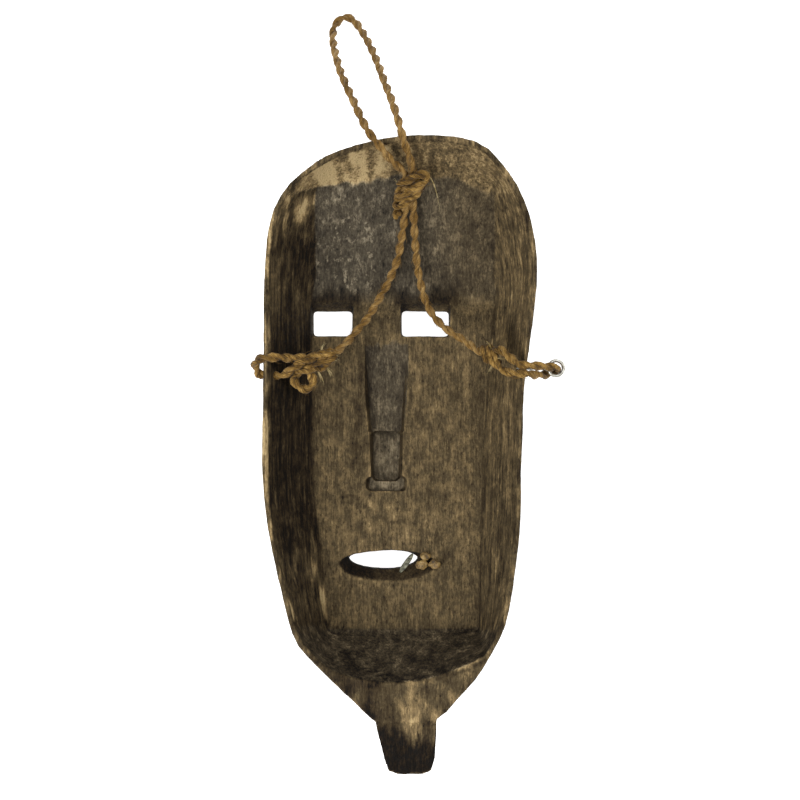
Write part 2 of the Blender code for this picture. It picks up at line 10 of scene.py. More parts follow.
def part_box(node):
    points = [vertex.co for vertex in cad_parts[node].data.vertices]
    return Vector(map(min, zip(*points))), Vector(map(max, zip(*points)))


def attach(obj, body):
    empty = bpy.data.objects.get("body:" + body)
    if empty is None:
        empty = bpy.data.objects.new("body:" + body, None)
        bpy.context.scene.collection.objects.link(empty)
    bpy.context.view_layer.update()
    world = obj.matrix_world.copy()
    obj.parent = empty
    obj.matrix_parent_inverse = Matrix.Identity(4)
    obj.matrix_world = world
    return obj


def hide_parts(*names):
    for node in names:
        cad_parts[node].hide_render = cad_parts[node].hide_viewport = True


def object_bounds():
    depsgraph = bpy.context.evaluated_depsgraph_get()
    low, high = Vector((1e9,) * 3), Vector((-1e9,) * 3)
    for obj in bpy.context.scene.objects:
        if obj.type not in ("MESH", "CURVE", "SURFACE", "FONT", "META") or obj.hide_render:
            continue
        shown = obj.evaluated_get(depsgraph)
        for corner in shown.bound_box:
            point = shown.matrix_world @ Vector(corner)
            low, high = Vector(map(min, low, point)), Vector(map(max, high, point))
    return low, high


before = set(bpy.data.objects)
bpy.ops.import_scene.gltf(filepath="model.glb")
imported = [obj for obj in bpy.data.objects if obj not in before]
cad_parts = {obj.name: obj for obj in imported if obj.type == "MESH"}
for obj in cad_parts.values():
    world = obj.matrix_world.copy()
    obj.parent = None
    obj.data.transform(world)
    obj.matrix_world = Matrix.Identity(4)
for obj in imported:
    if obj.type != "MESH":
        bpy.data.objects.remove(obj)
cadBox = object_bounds()
mm = 0.001
print("frame loaded:", len(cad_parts), "nodes")


# Small tools used by every piece

def deselectAll():
    if bpy.context.mode != "OBJECT":
        bpy.ops.object.mode_set(mode="OBJECT")
    bpy.ops.object.select_all(action="DESELECT")


def activate(piece):
    deselectAll()
    piece.select_set(True)
    bpy.context.view_layer.objects.active = piece


def nameNew(name):
    piece = bpy.context.object
    piece.name = name
    piece.data.name = name
    return piece


def applyAll(piece):
    activate(piece)
    for modifier in list(piece.modifiers):
        bpy.ops.object.modifier_apply(modifier=modifier.name)


def settle(piece, angle=50):
    # bakes the place into the mesh and smooths the shading
    activate(piece)
    bpy.ops.object.transform_apply(location=True, rotation=True, scale=True)
    bpy.ops.object.shade_smooth_by_angle(angle=math.radians(angle))


def linear(code):
    # sRGB hex to linear colour
    parts = [int(code[i:i + 2], 16) / 255 for i in (1, 3, 5)]
    return (*[p / 12.92 if p <= 0.04045 else ((p + 0.055) / 1.055) ** 2.4 for p in parts], 1.0)


def addNode(tree, kind, links=None, **settings):
    # one node; links is {input: (node, output)} or {input: value}
    node = tree.nodes.new("ShaderNode" + kind)
    for key, value in settings.items():
        setattr(node, key, value)
    for key, value in (links or {}).items():
        if isinstance(value, tuple) and hasattr(value[0], "outputs"):
            tree.links.new(value[0].outputs[value[1]], node.inputs[key])
        else:
            node.inputs[key].default_value = value
    return node


def ramp(tree, source, stops):
    node = addNode(tree, "ValToRGB", {"Fac": source})
    while len(node.color_ramp.elements) < len(stops):
        node.color_ramp.elements.new(0.5)
    for element, (place, colour) in zip(node.color_ramp.elements, stops):
        element.position = place
        element.color = linear(colour) if isinstance(colour, str) else (colour, colour, colour, 1)
    return node


def newMaterial(name):
    material = bpy.data.materials.new(name)
    material.use_nodes = True
    tree = material.node_tree
    return material, tree, tree.nodes["Principled BSDF"]


def smoothPath(points, step, curveSteps=16):
    # an even, smooth line through the points, in metres
    ends = [Vector(points[0]) * 2 - Vector(points[1])] + [Vector(p) for p in points]
    ends.append(Vector(points[-1]) * 2 - Vector(points[-2]))
    fine = []
    for i in range(len(points) - 1):
        a, b, c, d = ends[i:i + 4]
        for k in range(curveSteps):
            t = k / curveSteps
            fine.append(0.5 * (2 * b + (c - a) * t + (2 * a - 5 * b + 4 * c - d) * t * t
                               + (3 * b - a - 3 * c + d) * t ** 3))
    fine.append(Vector(points[-1]))
    lengths = [0.0]
    for a, b in zip(fine, fine[1:]):
        lengths.append(lengths[-1] + (b - a).length)
    count = max(int(lengths[-1] / step), 2)
    line = []
    at = 0
    for i in range(count + 1):
        want = lengths[-1] * i / count
        while at < len(fine) - 2 and lengths[at + 1] < want:
            at += 1
        share = (want - lengths[at]) / max(lengths[at + 1] - lengths[at], 1e-9)
        line.append(fine[at].lerp(fine[at + 1], min(share, 1.0)))
    return line


def framesAlong(line):
    # a side and an up direction at each point that don't spin about the line
    tangents = [(line[min(i + 1, len(line) - 1)] - line[max(i - 1, 0)]).normalized()
                for i in range(len(line))]
    side = tangents[0].orthogonal().normalized()
    frames = []
    for tangent in tangents:
        side = (side - tangent * side.dot(tangent)).normalized()
        frames.append((tangent, side, tangent.cross(side)))
    return frames


def meshPiece(name, verts, faces):
    data = bpy.data.meshes.new(name)
    data.from_pydata([tuple(v) for v in verts], [], faces)
    data.update()
    piece = bpy.data.objects.new(name, data)
    bpy.context.scene.collection.objects.link(piece)
    return piece


def faceOutwards(piece):
    activate(piece)
    bpy.ops.object.mode_set(mode="EDIT")
    bpy.ops.mesh.select_all(action="SELECT")
    bpy.ops.mesh.normals_make_consistent(inside=False)
    bpy.ops.object.mode_set(mode="OBJECT")


def ringAround(centre, side, up, radius, sides):
    angles = [2 * math.pi * k / sides for k in range(sides)]
    return [centre + (side * math.cos(a) + up * math.sin(a)) * radius for a in angles]


def tubeFaces(start, rings, sides):
    # the skin of a tube whose rings of vertices begin at start, and its two ends
    faces = []
    for low in range(start, start + (rings - 1) * sides, sides):
        for k in range(sides):
            a, b = low + k, low + (k + 1) % sides
            faces.append((a, b, b + sides, a + sides))
    last = start + (rings - 1) * sides
    faces.append(tuple(reversed(range(start, start + sides))))
    faces.append(tuple(range(last, last + sides)))
    return faces


def inMetres(route):
    return [tuple(v * mm for v in point) for point in route]


def smoothStep(value, low, high):
    share = np.clip((value - low) / (high - low), 0, 1)
    return share * share * (3 - 2 * share)


# Camera and light: straight down on the open back

camera = {"middle": (-0.0085, 0.034), "height": 1.20, "lens": 80.64}
cameraData = bpy.data.cameras.new("camera")
cameraData.lens = camera["lens"]
cameraData.sensor_width = 36
cameraObject = bpy.data.objects.new("camera", cameraData)
cameraObject.location = (*camera["middle"], camera["height"])
bpy.context.scene.collection.objects.link(cameraObject)
bpy.context.scene.camera = cameraObject
bpy.context.scene.view_settings.view_transform = "Standard"

lights = {
    "keySoftbox": {"place": (-0.75, -0.55, 1.05), "size": 0.9, "power": 15},
    "topFill": {"place": (0.25, 0.5, 1.5), "size": 1.4, "power": 9},
    "rightFill": {"place": (0.9, 0.1, 0.7), "size": 0.9, "power": 3},
}
for name, values in lights.items():
    data = bpy.data.lights.new(name, "AREA")
    data.size = values["size"]
    data.energy = values["power"]
    light = bpy.data.objects.new(name, data)
    light.location = values["place"]
    aim = Vector((0, 0, 0.03)) - light.location
    light.rotation_euler = aim.to_track_quat("-Z", "Y").to_euler()
    bpy.context.scene.collection.objects.link(light)
world = bpy.data.worlds.new("studio")
world.use_nodes = True
world.node_tree.nodes["Background"].inputs["Color"].default_value = (1, 1, 1, 1)
world.node_tree.nodes["Background"].inputs["Strength"].default_value = 0.42
bpy.context.scene.world = world


# Cord: two plies of agave fibre, twisted, on the routes of the CAD tubes

cordSizes = {     # in metres, and shares of the ply's radius
    "diameter": 0.0047, "plyRadius": 0.00148, "plyOffset": 0.00122, "twist": 0.0172,
    "step": 0.0006, "sides": 14, "yarns": 4, "yarnDepth": 0.06, "yarnTwist": 0.6,
    "steepTwist": 0.35,      # share of the twist that is left where the cord hangs
    "looseness": 0.35, "wander": 0.13, "roughness": 0.07, "tipShare": 0.45,
}
hairSizes = {     # lift and reach say how far a hair stands off the cord
    "every": 0.0016, "root": 0.0019, "length": (0.0025, 0.0065), "lift": (0.12, 0.42),
    "reach": 0.0019, "curl": 0.3, "sides": 3,
    "places": (0.0, 0.33, 0.66, 1.0), "widths": (0.00013, 0.00012, 0.0001, 0.00004),
}
leftLeg = [(-52.2, 64.5, 67), (-48.2, 64.9, 66.6), (-43.5, 69.3, 62), (-37, 77, 56), (-29, 87, 50),
           (-22, 99, 45.5), (-16, 110, 44), (-10, 125, 46.5), (-7.5, 138, 49.5), (-6, 149, 53.5),
           (-5.3, 157, 58.1)]
hangerLoop = [(-5.2, 176.3, 68), (-14, 184, 77), (-21, 192, 83.4), (-28, 201, 84.6),
              (-33, 211, 80.5), (-38, 223, 71), (-43, 235, 60), (-47.5, 248, 46), (-50.5, 260, 32),
              (-52.5, 271, 19), (-52.5, 280, 9), (-49.5, 287, 4), (-45, 289.5, 2.8),
              (-40, 288, 3.2), (-35.5, 282, 8), (-30.5, 272, 19), (-26, 261, 32), (-22, 249, 45),
              (-18, 236, 59), (-14, 224, 71), (-10.5, 212, 80.5), (-8, 202, 84.6), (-5, 192, 83.4),
              (-2, 184, 77), (-0.4, 176.4, 68.4)]
rightLeg = [(-0.2, 157, 58.1), (0.5, 147, 53), (1, 138, 49.5), (2, 126, 46.5), (4, 113, 44),
            (8, 98, 44), (14, 87, 48), (22, 79, 53), (31, 73, 59), (36.8, 68.3, 63.6),
            (41, 64.9, 66.6), (44.9, 64.5, 67)]
hangerRoute = leftLeg + [(-5.5, 166, 62.6)] + hangerLoop + [(-0.4, 166, 62.9)] + rightLeg


def spinPly(line, frames, ply, seed, thin, tipLength):
    # vertices of one ply wound round the line, with yarn ridges
    c = cordSizes
    verts = []
    run, wound = 0.0, 0.0
    for i, (point, (tangent, side, up)) in enumerate(zip(line, frames)):
        if i:
            gone = point - line[i - 1]
            run += gone.length
            wound += math.hypot(gone.x, gone.y, c["steepTwist"] * gone.z)
        loose = c["looseness"] * noise.noise(Vector((run * 45, seed, 0)))
        turn = 2 * math.pi * wound / c["twist"] + math.pi * ply + loose
        wander = 1 + c["wander"] * noise.noise(Vector((run * 260, ply * 7.3, seed)))
        fade = 1.0
        if tipLength:
            left = (len(line) - 1 - i) * c["step"]
            fade = c["tipShare"] + (1 - c["tipShare"]) * min(left / tipLength, 1.0)
        out = side * math.cos(turn) + up * math.sin(turn)
        across = tangent.cross(out)
        centre = point + out * c["plyOffset"] * thin * fade
        for k in range(c["sides"]):
            angle = 2 * math.pi * k / c["sides"]
            yarn = math.cos(c["yarns"] * angle
                            - 2 * math.pi * run / (c["twist"] * c["yarnTwist"]))
            rough = noise.noise(Vector((k * 1.7, run * 900, ply * 5 + seed)))
            radius = c["plyRadius"] * thin * fade * wander * (
                1 + c["yarnDepth"] * yarn + c["roughness"] * rough)
            verts.append(centre + (out * math.cos(angle) + across * math.sin(angle)) * radius)
    return verts


def plyMap(rings):
    # fibre coordinates: across the ply, drifting with the twist, and along it
    sides = cordSizes["sides"]
    corners = []
    for i in range(rings - 1):
        low = i * cordSizes["step"] / cordSizes["twist"]
        high = (i + 1) * cordSizes["step"] / cordSizes["twist"]
        for k in range(sides):
            corners += [(k / sides - low, low), ((k + 1) / sides - low, low),
                        ((k + 1) / sides - high, high), (k / sides - high, high)]
    return corners + [(0.5, 0.5)] * (2 * sides)


def strayHair(line, frames, thin):
    # vertices of one short hair that springs from the cord
    h = hairSizes
    at = random.randint(2, len(line) - 12)
    tangent, side, up = frames[at]
    angle = random.uniform(0, 2 * math.pi)
    out = side * math.cos(angle) + up * math.sin(angle)
    across = tangent.cross(out)
    root = line[at] + out * h["root"] * thin
    lean = random.choice((-1, 1))
    length = random.uniform(*h["length"])
    reach = min(length * random.uniform(*h["lift"]), h["reach"])
    curl = across * random.uniform(-h["curl"], h["curl"])
    verts = []
    for t, width in zip(h["places"], h["widths"]):
        point = (root + tangent * lean * length * t + out * reach * math.sin(t * 1.9)
                 + curl * length * t * t)
        verts += ringAround(point, out, across, width, h["sides"])
    return verts


def twistedCord(name, route, seed, thin=1.0, tipLength=0.0):
    # two plies wound round a route, and the hairs that stand off them
    line = smoothPath(inMetres(route), cordSizes["step"])
    frames = framesAlong(line)
    verts, faces, corners = [], [], []
    for ply in (0, 1):
        faces += tubeFaces(len(verts), len(line), cordSizes["sides"])
        verts += spinPly(line, frames, ply, seed, thin, tipLength)
        corners += plyMap(len(line))
    random.seed(seed)
    rings, sides = len(hairSizes["places"]), hairSizes["sides"]
    for _ in range(int(len(line) * cordSizes["step"] / hairSizes["every"])):
        faces += tubeFaces(len(verts), rings, sides)
        verts += strayHair(line, frames, thin)
        for j in range(rings - 1):
            corners += [(0.2, 0.1 * j)] * (4 * sides)
        corners += [(0.2, 0.1)] * (2 * sides)
    piece = meshPiece(name, verts, faces)
    layer = piece.data.uv_layers.new(name="fibre")
    layer.data.foreach_set("uv", np.array(corners, dtype=np.float32).ravel())
    faceOutwards(piece)
    bpy.ops.object.shade_smooth_by_angle(angle=math.radians(60))
    return piece, line


def agaveFibre(name, stops):
    # hand-spun agave, retted and sun-dried: golden, dull, with dark and bleached fibres
    material, tree, shader = newMaterial(name)
    uv = addNode(tree, "UVMap", uv_map="fibre")
    coords = addNode(tree, "TexCoord")
    along = addNode(tree, "Mapping", {"Vector": (uv, "UV"), "Scale": (22, 1.6, 1)})
    fibres = addNode(tree, "TexNoise", {"Vector": (along, "Vector"), "Scale": 1.0, "Detail": 4.0,
                                        "Roughness": 0.65})
    patches = addNode(tree, "TexNoise", {"Vector": (coords, "Object"), "Scale": 130.0,
                                         "Detail": 3.0, "Roughness": 0.6})
    blend = addNode(tree, "Math", {0: (fibres, "Fac"), 1: 0.62}, operation="MULTIPLY")
    tone = addNode(tree, "Math", {0: (patches, "Fac"), 1: 0.42, 2: (blend, "Value")},
                   operation="MULTIPLY_ADD")
    colour = ramp(tree, (tone, "Value"), stops)
    bump = addNode(tree, "Bump", {"Height": (fibres, "Fac"), "Strength": 0.75,
                                  "Distance": 0.00035})
    tree.links.new(colour.outputs["Color"], shader.inputs["Base Color"])
    tree.links.new(bump.outputs["Normal"], shader.inputs["Normal"])
    shader.inputs["Roughness"].default_value = 0.78
    shader.inputs["Specular IOR Level"].default_value = 0.15
    shader.inputs["Sheen Weight"].default_value = 0.1
    shader.inputs["Sheen Roughness"].default_value = 0.5
    return material


fibreMaterial = agaveFibre("agaveFibreTwisted", (
    (0.36, "#35250a"), (0.45, "#62471a"), (0.54, "#836434"), (0.68, "#bb9c64")))
handledFibre = agaveFibre("agaveFibreHandled", (     # browner where hands tied and rubbed it
    (0.40, "#201405"), (0.46, "#4a3413"), (0.53, "#775a28"), (0.64, "#bd9857")))
hangingCord, hangingLine = twistedCord("hangingCord", hangerRoute, 3)
hangingCord.data.materials.append(fibreMaterial)
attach(hangingCord, "hanger")
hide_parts("left_leg", "right_leg", "hanger_loop")


def wrapRoute(middle, axis, up, wide, high, turns, pitch, lean, startTurn=0.0, count=12):
    # turns of cord round a bundle; lean tilts every turn the same way
    axis, up = Vector(axis).normalized(), Vector(up).normalized()
    side = axis.cross(up).normalized()
    up = side.cross(axis)
    points = []
    steps = int(turns * count)
    for i in range(steps + 1):
        turn = startTurn + i / count
        angle = 2 * math.pi * turn
        across = wide * math.cos(angle)
        along = pitch * (i / count - turns / 2) + lean * across
        points.append(tuple(Vector(middle) + side * across + up * high * math.sin(angle)
                            + axis * along))
    return points


topKnotValues = {
    "middle": (-2.9, 165.0, 62.4), "axis": (0, 0.91, 0.42), "up": (0, -0.42, 0.91),
    "wide": 7.6, "high": 5.4, "turns": 2.4, "pitch": 6.0, "lean": 0.95,
}
wraps = wrapRoute(startTurn=0.45, **topKnotValues)
bight = [(-8.0, 170.0, 71.0), (-2.5, 172.6, 74.0), (3.4, 175.4, 75.0), (7.2, 175.2, 73.4),
         (7.2, 171.4, 71.6), (2.6, 168.4, 71.4), (-3.5, 165.2, 71.2)]
topKnot, _ = twistedCord("topKnot", wraps + bight, 21, thin=1.12)
topKnot.data.materials.append(handledFibre)
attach(topKnot, "hanger")
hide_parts("top_knot")

rightKnotValues = {
    "middle": (48.6, 61.8, 69.2), "axis": (1, 0, 0.1), "up": (0, 0, 1),
    "wide": 5.0, "high": 4.6, "turns": 1.6, "pitch": 4.9, "lean": 0.85,
}
rightWraps = wrapRoute(startTurn=0.1, **rightKnotValues)
rightTieRoute = rightWraps + [
    (52.5, 66.0, 74.5), (56.0, 64.4, 77.6), (60.5, 60.4, 80.8), (66.5, 56.2, 83.4),
    (74, 55.4, 82.6), (81, 55, 79.4), (86, 54.6, 77.4), (90, 54.2, 74), (89.8, 53, 68.5),
    (86, 51, 66.5), (81.5, 49.6, 69.5), (77, 49.6, 76), (72.5, 50, 82.4), (66.5, 50.6, 83.6),
    (60.5, 51.2, 80.5), (55.5, 53.4, 76.6), (51.5, 57.0, 74.4), (48.5, 59.5, 73.2)]
rightTie, _ = twistedCord("rightTie", rightTieRoute, 31, thin=1.08)
leftKnotValues = {
    "middle": (-56.6, 59.6, 68.2), "axis": (-1, 0, 0.05), "up": (0, 0, 1),
    "wide": 5.2, "high": 4.6, "turns": 1.7, "pitch": 5.0, "lean": -0.9,
}
leftWraps = wrapRoute(startTurn=0.15, **leftKnotValues)
leftTieRoute = leftWraps + [
    (-62.5, 61.2, 71.6), (-69, 60.6, 72.6), (-75.2, 60.2, 74.4), (-80.5, 60.2, 79.4),
    (-87, 60.5, 83.2), (-94.5, 60, 83.2), (-98.6, 58, 79.5), (-99.2, 54, 74), (-97.3, 50.6, 70.4),
    (-92, 49.5, 70), (-85.5, 49.5, 70), (-81, 50.4, 72.0), (-76.5, 53.4, 75.4),
    (-70.5, 57.4, 76.4), (-64.0, 60.4, 75.6), (-57.5, 62.6, 73.6), (-53.2, 60.0, 70.0),
    (-56.0, 55.6, 68.4), (-62.0, 54.0, 70.0), (-68.5, 52.8, 71.6), (-74.0, 50.6, 70.4)]
leftTie, _ = twistedCord("leftTie", leftTieRoute, 41, thin=1.12)
leftTailRoute = [(-63.0, 57.5, 65.0), (-69.0, 55.2, 67.4), (-74.0, 51.4, 68.0), (-75.4, 46.4, 67.0),
                 (-72.4, 42.0, 65.6), (-67.0, 41.2, 65.0), (-63.6, 45.2, 66.0), (-65.4, 50.4, 67.6),
                 (-69.8, 53.8, 66.4), (-72.6, 57.0, 64.0)]
leftTail, _ = twistedCord("leftTail", leftTailRoute, 51, thin=1.12, tipLength=0.012)
for piece, nodes in ((rightTie, ("right_tie_knot", "right_tie_loop")),
                     (leftTie, ("left_tie_knot", "left_tie_loop")),
                     (leftTail, ("left_tie_tail",))):
    piece.data.materials.append(handledFibre)
    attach(piece, "mask")
    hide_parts(*nodes)
print("knots and ties wound")


# Frayed fibres at the top knot and the ties

tuftSizes = {"step": 0.0012, "width": 0.00016, "taper": 0.75, "shortest": 0.55,
             "gathered": 0.35, "sides": 4}


def fibreTuft(name, strands, seed):
    # loose single fibres; each strand is a route, a number of fibres and their spread in mm
    t = tuftSizes
    random.seed(seed)
    verts, faces = [], []
    for route, count, wide in strands:
        for _ in range(count):
            push = Vector([random.uniform(-wide, wide) for _ in range(3)])
            stop = random.uniform(t["shortest"], 1.0)
            line = smoothPath(inMetres(route), t["step"])
            line = line[:max(int(len(line) * stop), 3)]
            faces += tubeFaces(len(verts), len(line), t["sides"])
            for i, (point, (tangent, side, up)) in enumerate(zip(line, framesAlong(line))):
                share = i / (len(line) - 1)
                width = t["width"] * (1 - t["taper"] * share)
                spread = push * mm * (t["gathered"] + (1 - t["gathered"]) * share)
                verts += ringAround(point + spread, side, up, width, t["sides"])
    piece = meshPiece(name, verts, faces)
    layer = piece.data.uv_layers.new(name="fibre")
    layer.data.foreach_set("uv", np.tile(np.array([0.6, 0.3], dtype=np.float32),
                                         len(piece.data.loops)))
    faceOutwards(piece)
    bpy.ops.object.shade_smooth()
    return piece


def strawFibre():
    # a bleached, unspun end of the same agave
    material, tree, shader = newMaterial("agaveFibreBleached")
    coords = addNode(tree, "TexCoord")
    patches = addNode(tree, "TexNoise", {"Vector": (coords, "Object"), "Scale": 220.0,
                                         "Detail": 2.0})
    colour = ramp(tree, (patches, "Fac"), ((0.35, "#8f7a48"), (0.6, "#cdb987")))
    tree.links.new(colour.outputs["Color"], shader.inputs["Base Color"])
    shader.inputs["Roughness"].default_value = 0.7
    shader.inputs["Specular IOR Level"].default_value = 0.3
    return material


strawMaterial = strawFibre()
# each strand: its route, the number of fibres, how far they spread
topWisp = fibreTuft("topWisp", (
    ([(4, 177, 69), (8, 177, 71), (12, 172, 69), (14.5, 165, 66), (16.5, 157, 64), (17.5, 150, 63)],
     7, 0.5),
    ([(4, 176, 69), (9, 178, 72), (14, 177, 72)], 4, 0.8),
    ([(-9, 171, 66), (-13, 174, 68), (-16, 173, 69)], 3, 0.7)), 61)
leftFray = fibreTuft("leftFray", (
    ([(-53, 62, 71), (-49, 60.5, 71), (-45, 58, 69)], 9, 1.6),
    ([(-55, 55, 69), (-52, 51, 68), (-50.5, 47, 66)], 9, 1.4),
    ([(-58, 64, 72), (-57, 68, 73), (-54, 71, 72)], 6, 1.4),
    ([(-60, 52, 66), (-58, 47, 64), (-57.5, 43.5, 62)], 10, 1.2)), 71)
rightFray = fibreTuft("rightFray", (
    ([(49, 66, 73), (47, 70, 74), (44, 72, 73)], 7, 1.3),
    ([(50, 57, 72), (48, 53, 71), (46, 50, 69)], 7, 1.3),
    ([(53, 60, 76), (57, 59, 78), (60, 58, 78)], 4, 1.0)), 81)
for piece, body in ((topWisp, "hanger"), (leftFray, "mask"), (rightFray, "mask")):
    piece.data.materials.append(strawMaterial)
    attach(piece, body)
print("frayed fibres laid")


# Mask body: the CAD block, carved over with tool marks, cracks and wear

maskValues = {
    "voxel": 0.00115, "triangles": 192000, "rounding": 0.5, "roundings": 2,
    "wallScoop": 0.55, "floorScoop": 0.22, "outsideScoop": 0.6, "scoopLevel": 0.4,
    "grain": 0.13, "swell": 0.45,
}
noiseScales = {     # one over the size of a feature along X, Y and Z, in mm
    "sideScoops": (0.055, 0.13, 0.05), "endScoops": (0.13, 0.05, 0.05),
    "floorScoops": (0.11, 0.06, 0.1), "outsideScoops": (0.07, 0.035, 0.07),
    "grain": (0.42, 0.03, 0.42), "swell": (0.045, 0.03, 0.045), "ragged": (0.35, 0.35, 0.35),
    "broad": (0.04, 0.03, 0.04), "middle": (0.13, 0.08, 0.13), "streak": (0.5, 0.035, 0.5),
    "worn": (0.09, 0.035, 0.09), "fan": (0.42, 0.05, 0.0),
    "lump": (0.34, 0.34, 0.34), "lumpSkin": (1.1, 1.1, 1.1),
}
cracks = (      # routes on the hollow's floor in mm: (points, half width, depth)
    (((-47.5, -27.6), (-40, -31.0), (-34, -34.5), (-28, -37.5)), 0.9, 0.7),
    (((-27, -44.0), (-18, -45.6), (-5.5, -45.0)), 0.9, 0.5),
    (((-48, -30.0), (-43, -36.0)), 0.7, 0.5),
    (((-46, -127), (-30, -136), (-8.5, -141), (20, -139), (45, -129)), 1.1, 0.8),
    (((-0.5, 52), (-2.5, 30), (-4.4, 12)), 0.8, 0.35),
)


def routeDistance(x, y, points):
    # distance in the plane from every vertex to a polyline
    best = np.full(x.shape, 1e9)
    for (ax, ay), (bx, by) in zip(points, points[1:]):
        dx, dy = bx - ax, by - ay
        t = np.clip(((x - ax) * dx + (y - ay) * dy) / (dx * dx + dy * dy), 0, 1)
        best = np.minimum(best, np.hypot(x - ax - t * dx, y - ay - t * dy))
    return best


def noiseField(points, kind, shift):
    # smooth noise at every point
    sx, sy, sz = noiseScales[kind]
    return np.array([noise.noise(Vector((x * sx + shift, y * sy + shift, z * sz - shift)))
                     for x, y, z in points])


def scoopField(points, kind, shift):
    # hollows of separate gouge cuts: 0 in the middle of a cut, up to about 1 on its crests
    sx, sy, sz = noiseScales[kind]
    return np.array([min(noise.voronoi(Vector((x * sx + shift, y * sy, z * sz)))[0][0], 1.0)
                     for x, y, z in points]) ** 2


def meshArrays(data):
    count = len(data.vertices)
    points = np.empty(count * 3)
    normals = np.empty(count * 3)
    data.vertices.foreach_get("co", points)
    data.vertex_normals.foreach_get("vector", normals)
    return points.reshape(-1, 3) / mm, normals.reshape(-1, 3)


def carveMask():
    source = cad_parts["mask_body"]
    body = bpy.data.objects.new("carvedMask", source.data.copy())
    bpy.context.scene.collection.objects.link(body)
    activate(body)
    bpy.ops.object.mode_set(mode="EDIT")
    bpy.ops.mesh.select_all(action="SELECT")
    bpy.ops.mesh.remove_doubles(threshold=0.000005)
    bpy.ops.object.mode_set(mode="OBJECT")
    m = maskValues
    body.data.remesh_voxel_size = m["voxel"]
    bpy.ops.object.voxel_remesh()
    smooth = body.modifiers.new("wornEdges", "SMOOTH")
    smooth.factor = m["rounding"]
    smooth.iterations = m["roundings"]
    applyAll(body)
    points, normals = meshArrays(body.data)
    x, y, z = points.T
    nx, ny, nz = normals.T
    wall = smoothStep(np.hypot(nx, ny), 0.3, 0.6) * smoothStep(z, 34, 42)
    underneath = 1 - smoothStep(nz, -0.35, 0.1)
    facingOut = smoothStep(nx * np.sign(x + 8) + 0.6 * ny * np.sign(y), 0.1, 0.5) * (z < 79)
    facingOut = np.clip(facingOut + underneath, 0, 1)
    wall = wall * (1 - facingOut)
    floor = smoothStep(nz, 0.6, 0.9) * (1 - wall)
    ends = smoothStep(np.abs(ny), 0.45, 0.75)
    wallCuts = scoopField(points, "sideScoops", 3.1) * (1 - ends)
    wallCuts += scoopField(points, "endScoops", 5.7) * ends
    shift = -m["wallScoop"] * wall * (m["scoopLevel"] - wallCuts)
    shift -= m["floorScoop"] * floor * (m["scoopLevel"] - scoopField(points, "floorScoops", 9.2))
    shift -= m["outsideScoop"] * facingOut * (
        m["scoopLevel"] - scoopField(points, "outsideScoops", 1.3))
    shift += m["grain"] * noiseField(points, "grain", 2.0)
    shift += m["swell"] * noiseField(points, "swell", 7.0)
    ragged = noiseField(points, "ragged", 15.0)
    for route, wide, deep in cracks:
        away = routeDistance(x + 2.2 * ragged, y + 2.8 * ragged, route)
        shift -= deep * (nz > 0.2) * np.exp(-(away / wide) ** 2) * smoothStep(ragged, -0.45, 0.2)
    points = points + normals * shift[:, None]
    body.data.vertices.foreach_set("co", (points * mm).ravel())
    body.data.update()
    triangles = sum(len(p.vertices) - 2 for p in body.data.polygons)
    if triangles > m["triangles"]:
        thin = body.modifiers.new("thin", "DECIMATE")
        thin.ratio = m["triangles"] / triangles
        applyAll(body)
    bpy.ops.object.shade_smooth()
    return body


def edgeWear(data, points, normals):
    # how proud each vertex stands of its neighbours, widened over a few millimetres
    count = len(points)
    ends = np.empty(len(data.edges) * 2, dtype=np.int64)
    data.edges.foreach_get("vertices", ends)
    a, b = ends.reshape(-1, 2).T
    number = np.bincount(a, minlength=count) + np.bincount(b, minlength=count)
    number = np.maximum(number, 1)

    def spread(values):
        total = np.bincount(a, weights=values[b], minlength=count)
        total += np.bincount(b, weights=values[a], minlength=count)
        return total / number

    middle = np.stack([spread(points[:, i]) for i in range(3)], axis=1)
    proud = ((points - middle) * normals).sum(axis=1)
    for _ in range(3):
        proud = 0.5 * proud + 0.5 * spread(proud)
    return proud


# Tones run from soot (0) to bare pale wood (1), with painted shade and highlight in places. Each is
# a level and what each noise adds.
toneShades = {
    "floor": {"level": 0.51, "middle": 0.10, "broad": 0.05},
    "forehead": {"level": 0.445, "middle": 0.11, "broad": 0.05},
    # the left wall's low level is partly smoke and partly painted shade
    "leftWall": {"level": 0.08, "middle": 0.16, "streak": 0.20},
    "rightWall": {"level": 0.45, "middle": 0.14, "streak": 0.12},
    "topWall": {"level": 0.52, "middle": 0.10},
    "lowWall": {"level": 0.33, "middle": 0.26, "streak": 0.10},
    "rim": {"level": 0.36, "middle": 0.12, "streak": 0.22},
    "chin": {"level": -0.19, "middle": 0.30, "streak": -0.18},
    "outside": {"level": 0.37, "middle": 0.12, "broad": 0.10, "streak": 0.16},
}
eyeShadeBands = {"spans": ((-70, -36), (-10, 27)), "ease": 4, "y": 98.5, "width": 5.2, "dark": 0.34}
grooveShadeEdge = {"x": -34, "splay": 0.08, "from": 20, "width": 4.5, "dark": 0.19}
smokePatch = {"place": (-69, 127), "wide": 12, "high": 17, "dark": 0.26}
fleckPatch = {"place": (-42, 128), "wide": 26, "high": 38}
blots = (       # on the left wall: (place, size, how dark)
    ((-81, 62.5), 5.5, 0.20), ((-88.5, 51.5), 3.2, 0.22), ((-76, 44), 5.5, 0.16),
    ((-83, -60), 7, 0.08),
)
edgeRub = {"strength": 2.0, "most": 0.16}


